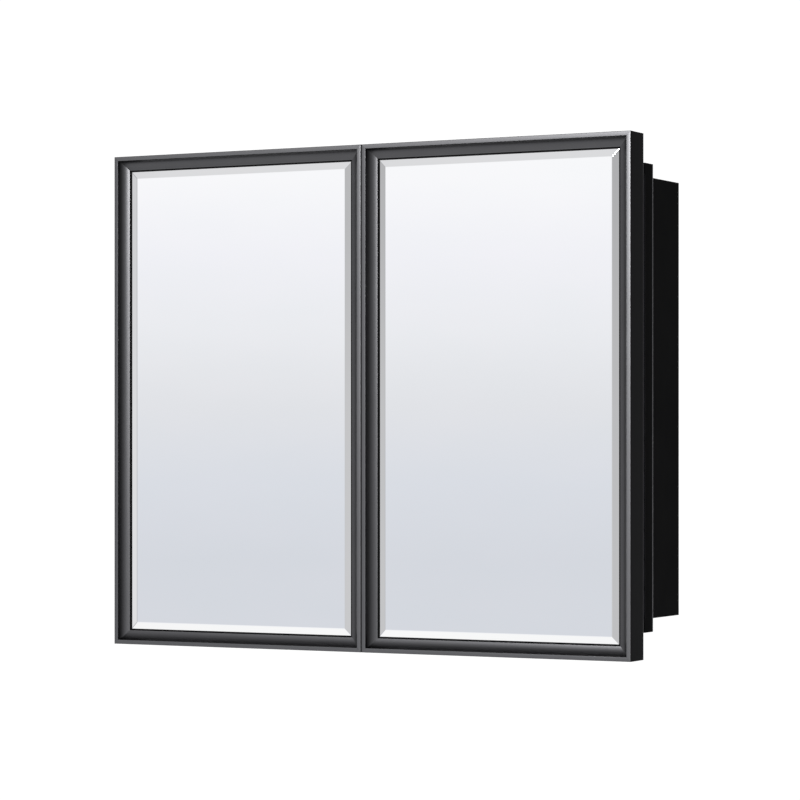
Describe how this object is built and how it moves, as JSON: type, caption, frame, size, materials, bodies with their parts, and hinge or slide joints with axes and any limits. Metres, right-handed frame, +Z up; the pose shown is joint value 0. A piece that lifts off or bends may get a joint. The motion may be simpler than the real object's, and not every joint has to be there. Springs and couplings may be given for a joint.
{
  "type": "medicine cabinet with mirror",
  "caption": "Wall-hung bathroom medicine cabinet: two framed doors with bevelled mirrors open on full-length hinges over glass shelves.",
  "frame": {"origin": "centre of the back panel's rear face, on the wall plane", "axes": "+X to the right seen from the room, +Y into the wall, +Z up; the doors face -Y"},
  "size_m": [0.7638, 0.162, 0.66],
  "materials": {
    "anodised_aluminium": "satin dark graphite anodised",
    "mirror_glass": "polished silvered glass",
    "backing_board": "hardboard",
    "nylon_key": "moulded",
    "black_lacquer": "satin black lacquer on board",
    "black_steel": "blackened, satin",
    "nickel": "nickel plated",
    "shelf_glass": "clear, polished edges",
    "bumper_rubber": "soft matt",
    "catch_plastic": "moulded black"
  },
  "bodies": {
    "case": {"back_panel": "black_lacquer", "left_side_panel": "black_lacquer", "right_side_panel": "black_lacquer", "top_panel": "black_lacquer", "bottom_panel": "black_lacquer", "face_frame_top_rail": "black_lacquer", "face_frame_bottom_rail": "black_lacquer", "face_frame_left_stile": "black_lacquer", "face_frame_right_stile": "black_lacquer", "hanging_rail": "black_lacquer", "back_mirror": "mirror_glass", "upper_shelf": "shelf_glass", "lower_shelf": "shelf_glass", "upper_shelf_left_back_pin": "nickel", "upper_shelf_left_front_pin": "nickel", "upper_shelf_right_back_pin": "nickel", "upper_shelf_right_front_pin": "nickel", "lower_shelf_left_back_pin": "nickel", "lower_shelf_left_front_pin": "nickel", "lower_shelf_right_back_pin": "nickel", "lower_shelf_right_front_pin": "nickel", "case_left_hinge_leaf": "black_steel", "case_right_hinge_leaf": "black_steel", "left_hinge_pin": "black_steel", "right_hinge_pin": "black_steel", "left_magnet_catch": "catch_plastic", "right_magnet_catch": "catch_plastic"},
    "left_door": {"left_door_left_moulding": "anodised_aluminium", "left_door_top_moulding": "anodised_aluminium", "left_door_right_moulding": "anodised_aluminium", "left_door_bottom_moulding": "anodised_aluminium", "left_door_lower_left_corner_key": "nylon_key", "left_door_upper_left_corner_key": "nylon_key", "left_door_upper_right_corner_key": "nylon_key", "left_door_lower_right_corner_key": "nylon_key", "left_door_bevelled_mirror": "mirror_glass", "left_door_backing_board": "backing_board", "left_door_inner_mirror": "mirror_glass", "left_door_hinge_leaf": "black_steel", "left_door_strike_plate": "nickel", "left_door_upper_bumper": "bumper_rubber", "left_door_lower_bumper": "bumper_rubber"},
    "right_door": {"right_door_left_moulding": "anodised_aluminium", "right_door_top_moulding": "anodised_aluminium", "right_door_right_moulding": "anodised_aluminium", "right_door_bottom_moulding": "anodised_aluminium", "right_door_lower_left_corner_key": "nylon_key", "right_door_upper_left_corner_key": "nylon_key", "right_door_upper_right_corner_key": "nylon_key", "right_door_lower_right_corner_key": "nylon_key", "right_door_bevelled_mirror": "mirror_glass", "right_door_backing_board": "backing_board", "right_door_inner_mirror": "mirror_glass", "right_door_hinge_leaf": "black_steel", "right_door_strike_plate": "nickel", "right_door_upper_bumper": "bumper_rubber", "right_door_lower_bumper": "bumper_rubber"}
  },
  "joints": [
    {"name": "left_door_hinge", "type": "hinge", "parent": "case", "child": "left_door", "pos_m": [-0.3798, -0.1177, 0], "axis": [0, 0, -1], "range_deg": [0, 110]},
    {"name": "right_door_hinge", "type": "hinge", "parent": "case", "child": "right_door", "pos_m": [0.3798, -0.1177, 0], "axis": [0, 0, 1], "range_deg": [0, 110]}
  ]
}
